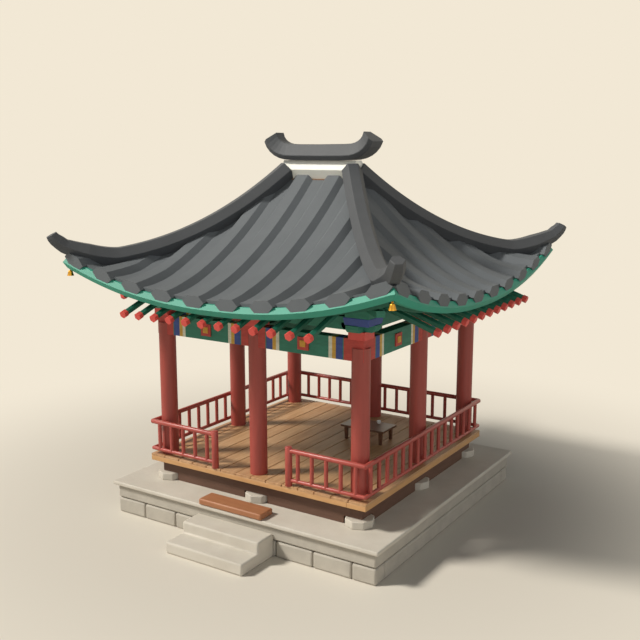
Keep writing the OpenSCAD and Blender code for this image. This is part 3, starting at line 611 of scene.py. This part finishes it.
def hip_tube():
    """Six-sided section of radius 0.184 swept over the hip line, leaned with its slope, thinner over the last
    tenth, with an upturned tip."""
    t = np.linspace(-0.01, 1.0, 62)
    line = np.column_stack([RIDGE_X + RUN_X * t, RIDGE_Y + RUN_Y * t, hip_z(t) + 0.14])
    tip = [(RIDGE_X + RUN_X * q, RIDGE_Y + RUN_Y * q, hip_z(1.0) + 0.16 + up) for q, up, _, _ in TIP]
    c = np.vstack([line, tip])
    run = np.hypot(np.gradient(c[:, 0]), np.gradient(c[:, 1]))
    lean = np.arctan2(np.gradient(c[:, 2]), run)
    lean[-len(TIP):] = np.radians([row[2] for row in TIP])
    thin = HIP_R * (1 - 2.4 * np.clip(t - 0.9, 0, None))
    r = np.concatenate([thin, [row[3] for row in TIP]])
    y, z = hexagon(r[:, None])
    sn, cs = np.sin(lean)[:, None], np.cos(lean)[:, None]
    g = np.stack([c[:, :1] - DY * y - DX * z * sn, c[:, 1:2] + DX * y - DY * z * sn, c[:, 2:] + z * cs], -1)
    return rings(g)


tube = hip_tube()
hips = [mirrored(tube, sx, sy) for sx, sy in CORNERS.values()]
piece("hip_ridge_tiles", hips, hip_tile, ["hip_ridges"], bevel=0.006, segments=1)

# ---------- ridge ----------
lo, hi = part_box("ridge_plaster")
PLASTER_HALF = hi[0]
across, up = hexagon((hi[1] - lo[1]) / 2)
middle = (hi[2] + lo[2]) / 2
ends = [np.column_stack([np.full(6, end), across, middle + up]) for end in (-PLASTER_HALF, PLASTER_HALF)]
piece("ridge_plaster_body", [rings(np.stack(ends))], lime, ["ridge_plaster"], bevel=0.008)

CAP_HALF = 1.078
CAP_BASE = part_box("ridge_plaster")[1][2]
CAP_SEAT = 0.078  # from the cap's underside to its widest edges
# along half the cap: share of its length, rise in millimetres, lean in degrees
CAP_LINE = np.array([[0, 0, 0], [0.5, 4, 0], [0.64, 12, 6], [0.74, 36, 16], [0.83, 78, 26], [0.9, 132, 35],
                     [0.96, 205, 46], [1.0, 298, 53]])
CAP_SECTION = np.array([(-0.189, -CAP_SEAT), (0.189, -CAP_SEAT), (0.234, 0), (0.117, 0.203),
                        (-0.117, 0.203), (-0.234, 0)])


def ridge_cap():
    """The cap's section carried along its line and mirrored, each ring leaned as the line rises to the tips."""
    right = CAP_LINE * np.array([CAP_HALF, 0.001, math.pi / 180])
    left = right[:0:-1] * np.array([-1, 1, -1])
    path = np.vstack([left, right])
    x, rise, lean = path[:, :1], path[:, 1:2], path[:, 2:]
    z = CAP_SECTION[:, 1][None, :]
    y = np.broadcast_to(CAP_SECTION[:, 0], (len(path), len(CAP_SECTION)))
    return rings(np.stack([x - z * np.sin(lean), y, CAP_BASE + rise + CAP_SEAT + z * np.cos(lean)], -1))


piece("ridge_cap_tiles", [ridge_cap()], hip_tile, ["ridge_cap"], bevel=0.008, segments=1)

# ---------- rafters ----------
TILT = math.atan(SLOPE)
TIP_Z = 3.8185  # height of a rafter's middle at its tip
POLE_R, END_CAP_R, END_CAP_LONG = 0.057, 0.069, 0.085


def pole(u, radius, start, end, sides=6):
    """Six-sided pole from the eave inward, rising 0.35 for each metre, with a corner on top."""
    a = np.arange(sides) * 2 * math.pi / sides + math.pi / 2
    d = np.array([start, end])[:, None]
    y = -RAFTER_TIP + d * math.cos(TILT) + radius * np.sin(a) * -math.sin(TILT)
    zz = TIP_Z + d * math.sin(TILT) + radius * np.sin(a) * math.cos(TILT)
    xx = np.broadcast_to(u + radius * np.cos(a), y.shape)
    return rings(np.stack([xx, y, zz], -1))


poles, caps = [], []
for u in RAFTERS:
    inner = max(1.05, abs(u) + 0.2)
    length = (RAFTER_TIP - inner) / math.cos(TILT)
    poles.append(pole(u, POLE_R, 0.07, length))
    caps.append(pole(u, END_CAP_R, 0.0, END_CAP_LONG))
poles = [turned(p, a) for a in TURNS for p in poles]
caps = [turned(p, a) for a in TURNS for p in caps]
piece("rafter_poles", poles, rafter_green, ["rafters"], bevel=0.003, segments=1)
piece("rafter_end_caps", caps, cap_red, ["rafter_caps"], bevel=0.006, segments=2)

# ---------- railings ----------
RAIL_R, LOW_RAIL_R, PEG_R, NEWEL_R = 0.042, 0.033, 0.018, 0.06
lo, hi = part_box("railing_back")
RAIL_Y = hi[1] - RAIL_R
RAIL_Z = hi[2] - RAIL_R
LOW_Z = DECK + 0.1
STEP = 0.273  # from baluster to baluster


def rail_run(x0, x1, posts=()):
    """Two round rails along the entrance side with balusters at odd half steps and pegs back to the columns."""
    out = [round_bar((x0, -RAIL_Y, RAIL_Z), (x1, -RAIL_Y, RAIL_Z), RAIL_R, 20, 0.022),
           round_bar((x0, -RAIL_Y, LOW_Z), (x1, -RAIL_Y, LOW_Z), LOW_RAIL_R, 20, 0.02)]
    for i in range(-16, 16):
        q = (i + 0.5) * STEP
        if x0 + 0.06 < q < x1 - 0.09:
            out.append(round_bar((q, -RAIL_Y, LOW_Z), (q, -RAIL_Y, RAIL_Z), LOW_RAIL_R, 18))
    for q in posts:
        for h in (RAIL_Z, LOW_Z):
            out.append(round_bar((q, -RAIL_Y, h), (q, -BAY - COL + 0.02, h), PEG_R, 12))
    return out


full = rail_run(-RAIL_Y, RAIL_Y, posts=(-BAY, 0, BAY))
for side, angle in (("back", 180), ("right", 90), ("left", 270)):
    piece("rail_" + side, [turned(p, angle) for p in full], rail_red, ["railing_" + side], smooth=40)
NEWEL_X = 0.775
newel = round_bar((NEWEL_X, -RAIL_Y, DECK), (NEWEL_X, -RAIL_Y, RAIL_Z + 0.058), NEWEL_R, 24, 0.014)
half_front = rail_run(NEWEL_X, RAIL_Y, posts=(BAY,)) + [newel]
front = half_front + [mirrored(p, -1, 1) for p in half_front]
piece("rail_front", front, rail_red, ["railing_front"], smooth=40)

# ---------- table and cup ----------
lo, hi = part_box("table_top")
piece("tea_table_top", [block(lo, hi)], lacquer, ["table_top"], bevel=0.006, segments=3)
leg_lo, leg_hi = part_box("table_legs")
LEG = 0.064
leg_spots = [(x, y) for x in (leg_lo[0], leg_hi[0] - LEG) for y in (leg_lo[1], leg_hi[1] - LEG)]
legs = [block((x, y, DECK), (x + LEG, y + LEG, lo[2] + 0.001), 0.006) for x, y in leg_spots]
piece("tea_table_legs", legs, lacquer, ["table_legs"], bevel=0.004)
cup_lo, cup_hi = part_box("tea_cup")
cup_middle = ((cup_lo[0] + cup_hi[0]) / 2, (cup_lo[1] + cup_hi[1]) / 2)
CUP_OUTSIDE = [(0.004, 0.0), (0.022, 0.0), (0.023, 0.004), (0.030, 0.010), (0.037, 0.028), (0.0405, 0.048),
               (0.0418, 0.059)]
CUP_INSIDE = [(0.0405, 0.060), (0.0385, 0.057), (0.035, 0.032), (0.028, 0.014), (0.004, 0.008)]
cup = moved(lathe(CUP_OUTSIDE + CUP_INSIDE, cup_middle, 40), z=cup_lo[2])
piece("tea_cup_white", [cup], glaze, ["tea_cup"], smooth=50)

# ---------- wind bells ----------
LUG_R = 0.009
# (radius, height under the pin) down the outside and up the inside
BELL_OUTSIDE = [(0.010, -0.0135), (0.029, -0.0142), (0.0345, -0.0185), (0.0385, -0.034), (0.0440, -0.056),
                (0.0505, -0.080), (0.0585, -0.100), (0.0598, -0.1035)]
BELL_INSIDE = [(0.0560, -0.1035), (0.0465, -0.078), (0.0400, -0.054), (0.0345, -0.034), (0.0305, -0.0225),
               (0.0100, -0.0180)]
for tag in BELLS:
    sx, sy = CORNERS[tag]
    lo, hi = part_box("bell_" + tag)
    x, y, pin = (lo[0] + hi[0]) / 2, (lo[1] + hi[1]) / 2, hi[2] - LUG_R
    diagonal = math.degrees(math.atan2(sy, sx))
    bell = lathe(BELL_OUTSIDE + BELL_INSIDE, sides=40)
    lug = turned(round_bar((0, -0.006, 0), (0, 0.006, 0), LUG_R, 24), diagonal)
    neck = turned(block((-0.008, -0.0055, -0.017), (0.008, 0.0055, -0.004)), diagonal)
    parts = [moved(p, x, y, pin) for p in (bell, lug, neck)]
    piece("wind_bell_" + tag, parts, brass, ["bell_" + tag], body="bell_" + tag, smooth=40)

# ---------- CAD nodes that keep their shape ----------
KEPT = {"podium_core": granite, "floor_joists": sill_wood, "cross_beam": beam_green, "king_posts": roof_wood,
        "inner_purlins": beam_green, "hip_rafters": beam_green, "ridge_bed": roof_wood, "bell_hooks": brass}
for name, material in KEPT.items():
    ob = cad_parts[name]
    ob.data.materials.clear()
    ob.data.materials.append(material)

# ---------- ground and light ----------
BACK = "F2E8D5"


def ground_finish():
    """Pale floor that fades, between 3.4 and 11.5 metres from the middle, into the even colour behind it."""
    m = bpy.data.materials.new("pale_floor")
    m.use_nodes = True
    t = m.node_tree
    t.nodes.clear()
    place = add(t, "ShaderNodeTexCoord")
    flat = add(t, "ShaderNodeVectorMath", {0: (place, "Object"), 1: (1.0, 1.0, 0.0)}, operation="MULTIPLY")
    far = add(t, "ShaderNodeVectorMath", {0: (flat, "Vector")}, operation="LENGTH")
    fade = add(t, "ShaderNodeMapRange", {"Value": (far, "Value"), "From Min": 3.4, "From Max": 11.5},
               interpolation_type="SMOOTHSTEP")
    path = add(t, "ShaderNodeLightPath")
    seen = add(t, "ShaderNodeMath", {0: (fade, "Result"), 1: (path, "Is Camera Ray")}, operation="MULTIPLY")
    lit = add(t, "ShaderNodeBsdfDiffuse", {"Color": linear("D6CFC2")})
    even = add(t, "ShaderNodeEmission", {"Color": linear(BACK), "Strength": 1.0})
    both = add(t, "ShaderNodeMixShader", {0: (seen, "Value"), 1: (lit, "BSDF"), 2: (even, "Emission")})
    add(t, "ShaderNodeOutputMaterial", {"Surface": (both, "Shader")})
    return m


reach, under = 120.0, -0.001
corners = [(-reach, -reach, under), (reach, -reach, under), (reach, reach, under), (-reach, reach, under)]
mesh = bpy.data.meshes.new("floor")
mesh.from_pydata(corners, [], [(0, 1, 2, 3)])
mesh.materials.append(ground_finish())
floor = bpy.data.objects.new("floor", mesh)
bpy.context.collection.objects.link(floor)

# an even sky: brighter near the horizon than overhead, and a plain backdrop where it is seen
world = bpy.data.worlds.new("studio")
world.use_nodes = True
t = world.node_tree
t.nodes.clear()
path = add(t, "ShaderNodeLightPath")
seen = add(t, "ShaderNodeMath", {0: (path, "Is Camera Ray"), 1: (path, "Is Glossy Ray")}, operation="MAXIMUM")
view = add(t, "ShaderNodeTexCoord")
split = add(t, "ShaderNodeSeparateXYZ", {"Vector": (view, "Generated")})
dome = add(t, "ShaderNodeMapRange", {"Value": (split, "Z"), "From Min": 0.0, "From Max": 0.9,
                                     "To Min": 0.50, "To Max": 0.04})
fill = add(t, "ShaderNodeBackground", {"Color": (0.96, 0.985, 1.0, 1.0), "Strength": (dome, "Result")})
back = add(t, "ShaderNodeBackground", {"Color": linear(BACK), "Strength": 1.0})
both = add(t, "ShaderNodeMixShader", {0: (seen, "Value"), 1: (fill, "Background"), 2: (back, "Background")})
add(t, "ShaderNodeOutputWorld", {"Surface": (both, "Shader")})
scene.world = world

SUN_AZ, SUN_EL = math.radians(38.5), math.radians(43.0)
lamp = bpy.data.lights.new("key", "SUN")
lamp.energy = 3.55
lamp.angle = math.radians(11)
lamp.color = (1.0, 0.965, 0.90)
key = bpy.data.objects.new("key", lamp)
key.rotation_euler = (math.pi / 2 - SUN_EL, 0, SUN_AZ - math.pi / 2)
bpy.context.collection.objects.link(key)

# a wide weak light from the right, as from a bright wall, that opens the shaded sides
side = bpy.data.lights.new("side", "SUN")
side.energy = 0.55
side.angle = math.radians(70)
side.color = (0.97, 0.985, 1.0)
soft = bpy.data.objects.new("side", side)
soft.rotation_euler = (math.radians(72), 0, math.radians(62))
bpy.context.collection.objects.link(soft)
